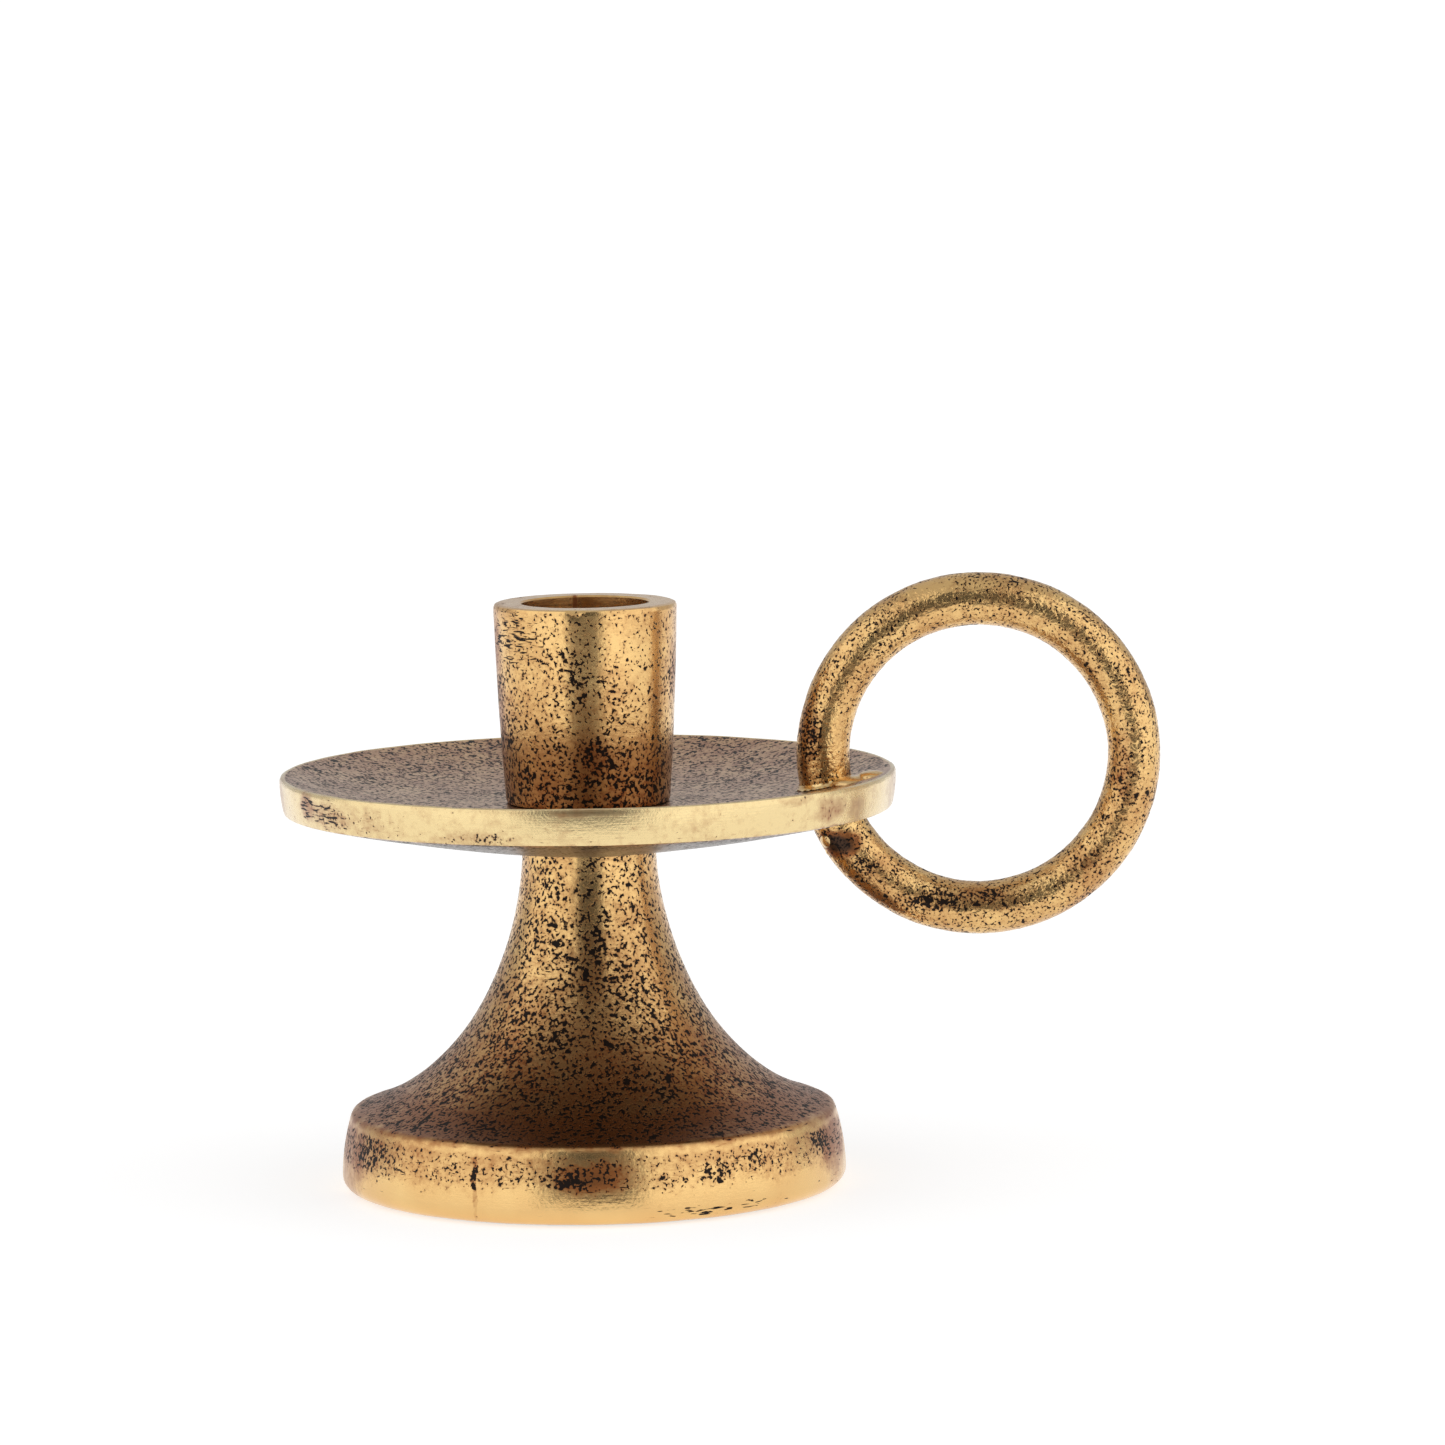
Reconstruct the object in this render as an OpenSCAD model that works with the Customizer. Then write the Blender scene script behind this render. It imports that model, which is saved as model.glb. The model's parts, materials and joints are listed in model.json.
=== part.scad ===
// Brass chamber candlestick: a hollow bell foot, a dished drip tray, a candle cup and a ring
// handle that passes through the tray near its rim. A threaded stud pulls cup, tray and foot
// together, and is closed from inside the foot by a nut on two washers.
//
// Units are millimetres. The origin is the centre of the felt ring's underside, +Z points up
// along the candle's axis, and +X points towards the ring handle.

/* [Foot] */
// Widest diameter of the foot, low on its skirt
foot_d = 89.4; // [88:0.2:94]
// Diameter at the top of the skirt
skirt_top_d = 86; // [84:0.2:87]
// Height of the top of the skirt
skirt_top_z = 13.2; // [11:0.2:13.4]
// Outer diameter of the flare where it meets the shoulder
flare_d = 83.6; // [80:0.2:84]
// Height of the flare's outer end
flare_z = 14.2; // [14:0.1:15]
// Height of the top of the neck, which carries the tray
neck_z = 60; // [57:0.5:62]
// Diameter of the top of the neck
neck_d = 23.7; // [23:0.1:26]
// Inner diameter of the heavy edge that stands on the table
foot_mouth_d = 64; // [62:0.5:65]
// Height of the flat seat inside the foot, which the nut pulls on
seat_z = 40; // [38:0.5:42]
// Diameter of that flat seat
seat_d = 22; // [20:0.5:23]

/* [Drip tray] */
// Diameter of the drip tray
tray_d = 109; // [107:0.5:112]
// Height of the tray's top edge
tray_top_z = 73.9; // [72:0.1:74.5]
// Height of the tray's rim face
rim_h = 6.5; // [5:0.1:7]
// Height of the flat middle of the tray, where the cup stands
dish_z = 68.4; // [67:0.1:69]

/* [Candle cup] */
// Height of the top of the candle cup
cup_top_z = 103.8; // [98:0.2:110]
// Diameter of the cup at its top
cup_top_d = 32.3; // [31:0.1:34]
// Diameter of the cup where it meets the tray
cup_foot_d = 29; // [28:0.1:31]
// Diameter of the candle socket
bore_d = 22.6; // [21:0.1:24]
// Depth of the candle socket
bore_depth = 25; // [18:0.5:26]

/* [Ring handle] */
// Diameter of the ring, measured to the middle of its bar
ring_d = 54.9; // [50:0.1:58]
// Diameter of the round bar
bar_d = 9.3; // [8:0.1:10]
// Distance from the candle's axis to the middle of the ring
ring_x = 69; // [67:0.1:70]
// Height of the middle of the ring
ring_z = 75.9; // [74:0.1:78]
// Width of the braze fillets around the bar, above and below the tray
fillet_w = 1.1; // [0.8:0.1:2.4]

/* [Stud and nut] */
// Diameter of the stud
stud_d = 6; // [5:0.5:6]
// Length of the stud
stud_len = 46.4; // [45:0.1:47]
// Depth of the tapped hole in the base of the cup
tapped_depth = 8.4; // [8:0.1:9]
// Width of the nut across its flats
nut_af = 10; // [9:0.1:11]
// Thickness of the nut
nut_h = 5; // [4:0.1:6]
// Outer diameter of the washers
washer_d = 12; // [11:0.1:13]
// Thickness of each washer
washer_t = 1.6; // [1:0.1:1.8]

/* [Felt] */
// Thickness of the felt ring
felt_t = 2; // [1.5:0.1:3]
// How far the felt stands below the metal
felt_proud = 0.4; // [0.2:0.1:1]
// Width of the felt ring
felt_w = 8; // [5:0.5:8]

/* [Hidden] */

$fn = 96;
gold = "#c9a04e";
red_gold = "#a9793c";
steel = "#9aa0a6";
felt_green = "#2f4a3a";

stud_hole_d = stud_d + 0.4;     // clearance hole through neck, tray and washers
bar_hole_d = bar_d + 0.04;      // hole that the ring fills in the tray
edge_r = 2.4;                   // rounding under the skirt
small_r = 0.6;                  // rounding of cup and tray edges
mouth_chamfer = 0.15;           // break on the mouth of the candle socket
felt_gap = 0.1;                 // room at each side of the felt
felt_mid_d = 74;                // middle diameter of the felt ring
steps = 24;                     // segments along each long curve
cut = 1;                        // overlap for clean subtraction

// The neck leaves the tray straight down and the flare ends 17 degrees off level. These are
// the lengths of the handles that shape the long S between those two directions.
neck_pull = 10.9;
flare_pull = 25;
flare_slope = 17;
// The same for the hollow, which leaves a wall of 4.5 to 6 mm
seat_pull = 5;
hollow_pull = 14;
hollow_slope = 24;
hollow_end = [30, 14.6];

dish_bow = 1.8;                 // how far the dish sinks below a straight line to its rim
under_bow = 0.5;                // how far the tray's underside swells below a straight line
cup_bow = 0.21;                 // swell of the cup's side
skirt_bow = 0.2;                // swell of the skirt
rim_bow = 0.15;                 // swell of the tray's rim face

rim_face = tray_d / 2 - rim_bow;        // radius of the rim face at its edges
rim_low_z = tray_top_z - rim_h;         // height of the rim's lower edge
crossing_r = ring_x - ring_d / 2;       // radius at which the ring's bar crosses the tray

// Point at fraction t of a cubic curve with ends a and d and handles b and c
function cubic(a, b, c, d, t) =
    pow(1 - t, 3) * a + 3 * pow(1 - t, 2) * t * b + 3 * (1 - t) * t * t * c + pow(t, 3) * d;

// Points along that curve, both ends included
function curve(a, b, c, d, n = steps) = [for (i = [0:n]) cubic(a, b, c, d, i / n)];

// Points from p to q on a line that swells by rise to its right-hand side
function bowed(p, q, rise, n = steps / 2) =
    let (d = (q - p) / norm(q - p), side = [d.y, -d.x])
    [for (i = [0:n]) let (t = i / n) p + (q - p) * t + side * 4 * rise * t * (1 - t)];

// Points of an arc around centre c from angle a0 to angle a1
function arc(c, r, a0, a1, n = 6) =
    [for (i = [0:n]) let (a = a0 + (a1 - a0) * i / n) c + r * [cos(a), sin(a)]];

// Outline of the foot, from its underside up the skirt and flare, then down the hollow
function foot_outline() =
    let (r = foot_d / 2, top = skirt_top_d / 2, out = flare_d / 2, mouth = foot_mouth_d / 2)
    concat(
        arc([r - edge_r, felt_proud + edge_r], edge_r, -90, 0),
        bowed([r, felt_proud + edge_r], [top, skirt_top_z], skirt_bow),
        curve([top, skirt_top_z], [top, flare_z - 0.3], [top - 0.4, flare_z - 0.1],
              [out, flare_z], 6),
        curve([out, flare_z],
              [out, flare_z] + flare_pull * [-cos(flare_slope), sin(flare_slope)],
              [neck_d / 2, neck_z - neck_pull], [neck_d / 2, neck_z]),
        [[stud_hole_d / 2, neck_z], [stud_hole_d / 2, seat_z], [seat_d / 2, seat_z]],
        curve([seat_d / 2, seat_z], [seat_d / 2, seat_z - seat_pull],
              hollow_end + hollow_pull * [-cos(hollow_slope), sin(hollow_slope)], hollow_end),
        curve(hollow_end, hollow_end + [1.3, -0.6], [mouth, 13], [mouth, 10.5], 6),
        [[mouth, felt_proud]]);

// Cast bell foot, hollow underneath, with a shallow groove for the felt
module foot() {
    groove_w = felt_w + 2 * felt_gap;
    color(gold) difference() {
        rotate_extrude() polygon(foot_outline());
        difference() {
            translate([0, 0, felt_proud - cut])
                cylinder(d = felt_mid_d + groove_w, h = felt_t - felt_proud + cut);
            translate([0, 0, felt_proud - 2 * cut])
                cylinder(d = felt_mid_d - groove_w, h = felt_t + 3 * cut);
        }
    }
}

// Solid of the tray before the ring's bar passes through it
module tray_blank() {
    rotate_extrude() polygon(concat(
        [[stud_hole_d / 2, dish_z], [stud_hole_d / 2, neck_z]],
        bowed([neck_d / 2, neck_z], [rim_face - small_r, rim_low_z], under_bow),
        arc([rim_face - small_r, rim_low_z + small_r], small_r, -90, 0),
        bowed([rim_face, rim_low_z + small_r], [rim_face, tray_top_z - small_r], rim_bow, 6),
        arc([rim_face - small_r, tray_top_z - small_r], small_r, 0, 90),
        bowed([rim_face - small_r, tray_top_z], [cup_foot_d / 2, dish_z], -dish_bow)));
}

// Round bar bent into a ring, standing upright in the XZ plane
module ring(bar) {
    translate([ring_x, 0, ring_z]) rotate([90, 0, 0])
        rotate_extrude() translate([ring_d / 2, 0]) circle(d = bar);
}

module drip_tray() {
    color(red_gold) difference() {
        tray_blank();
        ring(bar_hole_d);
    }
}

// Tapered cup with a blind socket for the candle and a tapped hole in its base
module candle_cup() {
    top = cup_top_d / 2;
    base = cup_foot_d / 2;
    bore_z = cup_top_z - bore_depth;
    color(gold) difference() {
        rotate_extrude() polygon(concat(
            [[0, dish_z]],
            arc([base - small_r, dish_z + small_r], small_r, -90, 0),
            bowed([base, dish_z + small_r], [top, cup_top_z - small_r], cup_bow),
            arc([top - small_r, cup_top_z - small_r], small_r, 0, 90),
            [[0, cup_top_z]]));
        translate([0, 0, bore_z]) cylinder(d = bore_d, h = bore_depth + cut);
        translate([0, 0, cup_top_z - mouth_chamfer])
            cylinder(r1 = bore_d / 2, r2 = bore_d / 2 + mouth_chamfer + cut,
                     h = mouth_chamfer + cut);
        translate([0, 0, dish_z - cut]) cylinder(d = stud_d, h = tapped_depth + cut);
    }
}

module ring_handle() {
    color(gold) ring(bar_d);
}

// Height and slope, at radius x, of a face from p out to q that sags in its middle
function face_at(p, q, sag, x) =
    let (run = q.x - p.x, t = (x - p.x) / run)
    [p.y + (q.y - p.y) * t - 4 * sag * t * (1 - t),
     atan((q.y - p.y - 4 * sag * (1 - 2 * t)) / run)];

// Angle around the ring, measured from +X towards +Z, at which the middle of its bar crosses
// the line that passes radius x at height z and rises by slope outwards
function crossing_angle(x, z, slope) =
    let (dir = [cos(slope), sin(slope)],
         off = [x - ring_x, z - ring_z],
         b = off * dir,
         c = off * off - pow(ring_d / 2, 2),
         hit = off + dir * (-b - sqrt(b * b - c)))
    atan2(hit.y, hit.x);

// Concave collar of braze around the bar where it crosses a face. place is that face's height
// and slope there, and side is 1 above the tray and -1 below it.
module braze_fillet(place, side) {
    r = bar_d / 2;
    blunt = 0.15;
    angle = crossing_angle(crossing_r, place[0], place[1]);
    difference() {
        translate([ring_x + ring_d / 2 * cos(angle), 0, ring_z + ring_d / 2 * sin(angle)])
            rotate([0, -place[1], 0]) mirror([0, 0, side > 0 ? 0 : 1])
                rotate_extrude() polygon(concat(
                    [[r - cut, -cut], [r + fillet_w, -cut]],
                    arc([r + fillet_w, fillet_w], fillet_w - blunt, 270, 180, 8),
                    [[r - cut, fillet_w]]));
        tray_blank();
        ring(bar_d);
    }
}

module upper_braze_fillet() {
    color(red_gold) braze_fillet(face_at([cup_foot_d / 2, dish_z],
                                         [rim_face - small_r, tray_top_z], dish_bow, crossing_r), 1);
}

module lower_braze_fillet() {
    color(red_gold) braze_fillet(face_at([neck_d / 2, neck_z],
                                         [rim_face - small_r, rim_low_z], under_bow, crossing_r), -1);
}

// Threaded stud, drawn as a plain rod with chamfered ends
module tie_stud() {
    end_z = 0.4;
    tip = 0.8;
    r = stud_d / 2 - 0.05;
    top_z = dish_z + tapped_depth - end_z;
    color(steel) translate([0, 0, top_z - stud_len]) rotate_extrude()
        polygon([[0, 0], [r - tip, 0], [r, tip], [r, stud_len - tip], [r - tip, stud_len],
                 [0, stud_len]]);
}

module washer(outer_d, hole_d, t) {
    difference() {
        cylinder(d = outer_d, h = t);
        translate([0, 0, -cut]) cylinder(d = hole_d, h = t + 2 * cut);
    }
}

module plain_washer() {
    color(steel) translate([0, 0, seat_z - washer_t]) washer(washer_d, stud_hole_d, washer_t);
}

// Spring washer: a ring cut through at one side
module lock_washer() {
    slit = 1;
    color(steel) translate([0, 0, seat_z - 2 * washer_t]) difference() {
        washer(washer_d - 0.4, stud_d + 0.2, washer_t);
        translate([0, -slit / 2, -cut]) cube([washer_d, slit, washer_t + 2 * cut]);
    }
}

// Hexagon nut with its corners chamfered at both ends
module hex_nut() {
    corner_d = nut_af / cos(30);
    bevel = 0.6;
    color(steel) translate([0, 0, seat_z - 2 * washer_t - nut_h]) difference() {
        intersection() {
            cylinder(d = corner_d, h = nut_h, $fn = 6);
            cylinder(d1 = nut_af, d2 = nut_af + nut_h / bevel * (corner_d - nut_af), h = nut_h);
            cylinder(d1 = nut_af + nut_h / bevel * (corner_d - nut_af), d2 = nut_af, h = nut_h);
        }
        translate([0, 0, -cut]) cylinder(d = stud_d, h = nut_h + 2 * cut);
    }
}

module felt_ring() {
    color(felt_green) washer(felt_mid_d + felt_w, felt_mid_d - felt_w, felt_t);
}

foot();
drip_tray();
candle_cup();
ring_handle();
upper_braze_fillet();
lower_braze_fillet();
tie_stud();
plain_washer();
lock_washer();
hex_nut();
felt_ring();
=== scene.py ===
"""Brass chamber candlestick in cast, hand-finished antique brass.

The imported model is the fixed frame: each piece takes its size and place from its node's box, and
the dataclass fields hold what the boxes can't say. Lengths are metres, +Z is up along the
candle's axis and +X points towards the ring handle.
"""

import json
import logging
import math
from abc import ABC, abstractmethod
from collections.abc import Callable, Sequence
from dataclasses import dataclass, field
from enum import Enum
from typing import ClassVar, Protocol

import bpy
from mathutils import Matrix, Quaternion, Vector

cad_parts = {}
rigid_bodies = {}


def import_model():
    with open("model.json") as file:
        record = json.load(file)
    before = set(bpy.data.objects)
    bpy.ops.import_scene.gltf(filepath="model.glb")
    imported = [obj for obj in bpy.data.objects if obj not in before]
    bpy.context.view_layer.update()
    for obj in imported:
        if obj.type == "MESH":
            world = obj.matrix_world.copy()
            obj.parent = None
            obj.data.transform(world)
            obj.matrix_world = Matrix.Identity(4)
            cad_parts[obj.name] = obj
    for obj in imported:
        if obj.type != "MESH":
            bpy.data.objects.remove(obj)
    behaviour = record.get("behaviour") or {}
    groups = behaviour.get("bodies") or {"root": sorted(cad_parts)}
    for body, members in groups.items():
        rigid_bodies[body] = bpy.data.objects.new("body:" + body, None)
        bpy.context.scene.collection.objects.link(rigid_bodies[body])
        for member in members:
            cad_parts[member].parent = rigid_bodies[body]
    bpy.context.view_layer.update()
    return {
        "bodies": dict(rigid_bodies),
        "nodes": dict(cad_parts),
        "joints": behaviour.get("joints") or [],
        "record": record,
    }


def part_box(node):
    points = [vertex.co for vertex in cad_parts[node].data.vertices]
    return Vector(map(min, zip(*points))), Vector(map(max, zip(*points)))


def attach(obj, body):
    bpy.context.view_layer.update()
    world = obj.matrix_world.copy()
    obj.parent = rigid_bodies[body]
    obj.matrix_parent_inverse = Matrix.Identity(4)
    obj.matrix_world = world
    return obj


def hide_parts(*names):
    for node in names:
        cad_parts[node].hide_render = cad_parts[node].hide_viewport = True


MM = 0.001
BODY = "root"
LOG = logging.getLogger("candlestick")

Point = tuple[float, float]


class Slot(Enum):
    """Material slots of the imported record."""

    BRASS = "antique_brass"
    STEEL = "zinc_steel"
    FELT = "felt"


# ---------------------------------------------------------------------------- outlines


@dataclass
class OutlinePen:
    """Draws the half-section of a turned piece as evenly spaced (radius, height) points.

    Args:
        start: First point of the outline.
        step: Distance between neighbouring points along curves.
    """

    start: Point
    step: float = 0.6 * MM
    points: list[Vector] = field(default_factory=list)

    def __post_init__(self) -> None:
        """Puts the pen down on the first point."""
        self.points.append(Vector(self.start))

    def trace(self, rule: Callable[[float], Vector]) -> "OutlinePen":
        """Follows a rule from 0 to 1 in steps of even length.

        Args:
            rule: Gives the point at a fraction of the way.

        Returns:
            The pen, so that strokes can be chained.
        """
        samples = 200
        path = [rule(i / samples) for i in range(samples + 1)]
        length = sum((b - a).length for a, b in zip(path, path[1:]))
        count = max(1, round(length / self.step))
        walked, target = 0.0, length / count
        for a, b in zip(path, path[1:]):
            walked += (b - a).length
            if walked >= target - 1e-9:
                self.points.append(b.copy())
                target += length / count
        return self

    def line(self, end: Point) -> "OutlinePen":
        """Draws a straight stroke to end, with the same even spacing as a curve."""
        return self.bow(end, 0.0)

    def bow(self, end: Point, rise: float) -> "OutlinePen":
        """Draws a stroke to end that swells by rise to its right-hand side.

        Args:
            end: Where the stroke ends.
            rise: How far its middle stands off the straight line.

        Returns:
            The pen.
        """
        a, b = self.points[-1].copy(), Vector(end)
        along = (b - a).normalized()
        side = Vector((along.y, -along.x))
        return self.trace(lambda t: a.lerp(b, t) + side * 4 * rise * t * (1 - t))

    def curve(self, handle_a: Point, handle_b: Point, end: Point) -> "OutlinePen":
        """Draws a cubic curve to end.

        Args:
            handle_a: Handle of the curve's start.
            handle_b: Handle of the curve's end.
            end: Where the curve ends.

        Returns:
            The pen.
        """
        p = [self.points[-1].copy(), Vector(handle_a), Vector(handle_b), Vector(end)]
        weights = (1, 3, 3, 1)
        return self.trace(lambda t: sum((
            p[i] * weights[i] * (1 - t) ** (3 - i) * t ** i for i in range(4)), Vector((0, 0))))

    def corner(self, tip: Point, end: Point) -> "OutlinePen":
        """Rounds a corner, close to a quarter circle where its sides are square and equal.

        Args:
            tip: Where the sharp corner would be.
            end: Where the rounding ends.

        Returns:
            The pen.
        """
        start = self.points[-1]
        blend = 0.55
        tip_v, end_v = Vector(tip), Vector(end)
        return self.curve(start.lerp(tip_v, blend), end_v.lerp(tip_v, blend), end)


# ---------------------------------------------------------------------------- mesh shop


def clear_selection() -> None:
    """Goes to object mode with nothing selected, because operators act on all that is."""
    if bpy.context.object and bpy.context.object.mode != "OBJECT":
        bpy.ops.object.mode_set(mode="OBJECT")
    bpy.ops.object.select_all(action="DESELECT")


def take_up(piece: bpy.types.Object) -> None:
    """Makes a piece the only selected and the active object.

    Args:
        piece: The object to work on next.
    """
    clear_selection()
    piece.select_set(True)
    bpy.context.view_layer.objects.active = piece


def finish_piece(piece: bpy.types.Object, name: str, sharp_deg: float = 40.0) -> bpy.types.Object:
    """Names a piece, bakes its place into its mesh and shades it.

    Args:
        piece: The modelled object.
        name: The piece's final name.
        sharp_deg: Edges sharper than this stay hard.

    Returns:
        The same object.
    """
    take_up(piece)
    bpy.ops.object.transform_apply(location=True, rotation=True, scale=True)
    bpy.ops.object.shade_smooth_by_angle(angle=math.radians(sharp_deg))
    piece.name = name
    piece.data.name = name
    return piece


def spin_outline(outline: Sequence[Vector], turns: int) -> bpy.types.Object:
    """Extrudes one point along an outline and turns it round the candle's axis.

    The first sixteenth is spun; it is then doubled four times, which is much quicker.

    Args:
        outline: (radius, height) points.
        turns: Segments around the axis, a multiple of 16.

    Returns:
        The turned mesh object, still active.
    """
    clear_selection()
    first = outline[0]
    bpy.ops.mesh.primitive_plane_add(size=MM, location=(first.x, 0, first.y))
    bpy.ops.object.mode_set(mode="EDIT")
    bpy.ops.mesh.select_all(action="SELECT")
    bpy.ops.mesh.merge(type="CENTER")
    for a, b in zip(outline, outline[1:]):
        stroke = (b.x - a.x, 0, b.y - a.y)
        bpy.ops.mesh.extrude_region_move(TRANSFORM_OT_translate={"value": stroke})
    doublings = 4
    sector = math.tau / 2 ** doublings
    bpy.ops.mesh.select_all(action="SELECT")
    bpy.ops.mesh.spin(steps=turns // 2 ** doublings, angle=sector, center=(0, 0, 0), axis=(0, 0, 1))
    for i in range(doublings):
        bpy.ops.mesh.select_all(action="SELECT")
        bpy.ops.mesh.duplicate()
        bpy.ops.transform.rotate(value=sector * 2 ** i, orient_axis="Z",
                                 center_override=(0, 0, 0))
    bpy.ops.mesh.select_all(action="SELECT")
    bpy.ops.mesh.remove_doubles(threshold=1e-6)
    bpy.ops.mesh.normals_make_consistent(inside=False)
    bpy.ops.object.mode_set(mode="OBJECT")
    bpy.ops.object.transform_apply(location=True, rotation=False, scale=False)
    return bpy.context.object


def modify(piece: bpy.types.Object, kind: str, **settings: object) -> None:
    """Adds a modifier with its settings and applies it at once.

    Args:
        piece: Object to change.
        kind: Modifier type.
        **settings: Properties of the modifier.
    """
    take_up(piece)
    modifier = piece.modifiers.new(kind.title(), kind)
    for key, value in settings.items():
        setattr(modifier, key, value)
    bpy.ops.object.modifier_apply(modifier=modifier.name)


@dataclass(frozen=True)
class Relief:
    """Uneven surface that casting and hand work leave, as a displacement.

    Args:
        width: Size of the bumps.
        height: Full height between hollow and bump.
        depth: How many finer levels of bumps ride on them.
    """

    width: float
    height: float
    depth: int = 1

    def press_into(self, piece: bpy.types.Object) -> None:
        """Displaces a piece's mesh with this relief.

        Args:
            piece: Object to change.
        """
        clouds = bpy.data.textures.new("relief", "CLOUDS")
        clouds.noise_scale = self.width
        clouds.noise_depth = self.depth
        clouds.noise_basis = "ORIGINAL_PERLIN"
        modify(piece, "DISPLACE", texture=clouds, texture_coords="LOCAL",
               strength=self.height, mid_level=0.5)


@dataclass(frozen=True)
class Dent:
    """A nick or a worn spot: the surface near a point moves a little.

    Args:
        at: Point on the surface.
        move: How far and which way the metal moves.
        radius: Reach of the dent.
    """

    at: tuple[float, float, float]
    move: tuple[float, float, float]
    radius: float

    def strike(self, piece: bpy.types.Object) -> None:
        """Moves the vertex nearest to the point, with a soft falloff around it.

        Args:
            piece: Object to change.
        """
        take_up(piece)
        target = Vector(self.at)
        nearest = min(piece.data.vertices, key=lambda v: (v.co - target).length_squared).index
        bpy.ops.object.mode_set(mode="EDIT")
        bpy.ops.mesh.select_mode(type="VERT")
        bpy.ops.mesh.select_all(action="DESELECT")
        bpy.ops.object.mode_set(mode="OBJECT")
        piece.data.vertices[nearest].select = True
        bpy.ops.object.mode_set(mode="EDIT")
        bpy.ops.transform.translate(value=self.move, use_proportional_edit=True,
                                    proportional_size=self.radius,
                                    proportional_edit_falloff="SMOOTH")
        bpy.ops.mesh.select_all(action="DESELECT")
        bpy.ops.object.mode_set(mode="OBJECT")


def place(piece: bpy.types.Object, node: str) -> None:
    """Rides a piece on the body, hides its node's CAD part and reports it.

    Args:
        piece: The finished and dressed object.
        node: The CAD node that it stands for.
    """
    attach(piece, BODY)
    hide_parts(node)
    LOG.info("%s: %d faces", piece.name, len(piece.data.polygons))


# ---------------------------------------------------------------------------- materials


def linear(hex_colour: str) -> tuple[float, float, float, float]:
    """Turns an sRGB hex colour into the linear values that shaders use.

    Args:
        hex_colour: A colour such as #c9a04e.

    Returns:
        Red, green, blue and full opacity.
    """
    channels = [int(hex_colour[i:i + 2], 16) / 255 for i in (1, 3, 5)]
    rgb = [c / 12.92 if c <= 0.04045 else ((c + 0.055) / 1.055) ** 2.4 for c in channels]
    return (*rgb, 1.0)


def add_node(tree: bpy.types.NodeTree, kind: str, settings: dict | None = None,
             links: dict | None = None) -> bpy.types.Node:
    """Adds a shader node.

    Args:
        tree: Tree that gets the node.
        kind: Node type without its ShaderNode prefix.
        settings: Values for sockets, by name or number, or for the node's own properties.
        links: Output sockets for the node's inputs, by name or number.

    Returns:
        The new node.
    """
    node = tree.nodes.new("ShaderNode" + kind)
    for key, value in (settings or {}).items():
        if isinstance(key, str) and key in node.bl_rna.properties:
            setattr(node, key, value)
    for key, value in (settings or {}).items():
        if not (isinstance(key, str) and key in node.bl_rna.properties):
            node.inputs[key].default_value = value
    for key, socket in (links or {}).items():
        tree.links.new(socket, node.inputs[key])
    return node


def new_material(name: str) -> tuple[bpy.types.Material, bpy.types.NodeTree]:
    """Makes an empty node material.

    Args:
        name: The material's name.

    Returns:
        The material and its tree.
    """
    material = bpy.data.materials.new(name)
    material.use_nodes = True
    material.node_tree.nodes.clear()
    return material, material.node_tree


def dress(piece: bpy.types.Object, material: bpy.types.Material) -> None:
    """Gives a piece one material all over."""
    piece.data.materials.clear()
    piece.data.materials.append(material)


class Finish(Protocol):
    """What every finish can do."""

    def build(self) -> bpy.types.Material:
        """Builds the node material."""


@dataclass(frozen=True)
class Patch:
    """A soft-edged place on a piece where the finish differs, given in millimetres.

    Some patches lay on painted shade instead of a real difference.

    Args:
        at: Middle of the patch.
        reach: Half sizes along X, Y and Z.
        pits: Black pits added at its middle, or taken away if negative, also as painted shade.
        film: Brown film added, also as painted shade.
        hatch: Short file strokes added.
        polish: Polish added.
        soft: Share of the reach over which the patch fades out.
        ragged: Whether its edge wanders.
    """

    at: tuple[float, float, float]
    reach: tuple[float, float, float]
    pits: float = 0.0
    film: float = 0.0
    hatch: float = 0.0
    polish: float = 0.0
    soft: float = 0.7
    ragged: bool = True


ALL_ROUND = 1000.0


def band(height: float, reach: float, **amounts: float) -> Patch:
    """Gives a patch that runs all round the candle's axis.

    Args:
        height: Its middle above the table, in millimetres.
        reach: Half its height.
        **amounts: The other values of the patch.

    Returns:
        The patch.
    """
    return Patch((0, 0, height), (ALL_ROUND, ALL_ROUND, reach), **amounts)


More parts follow.
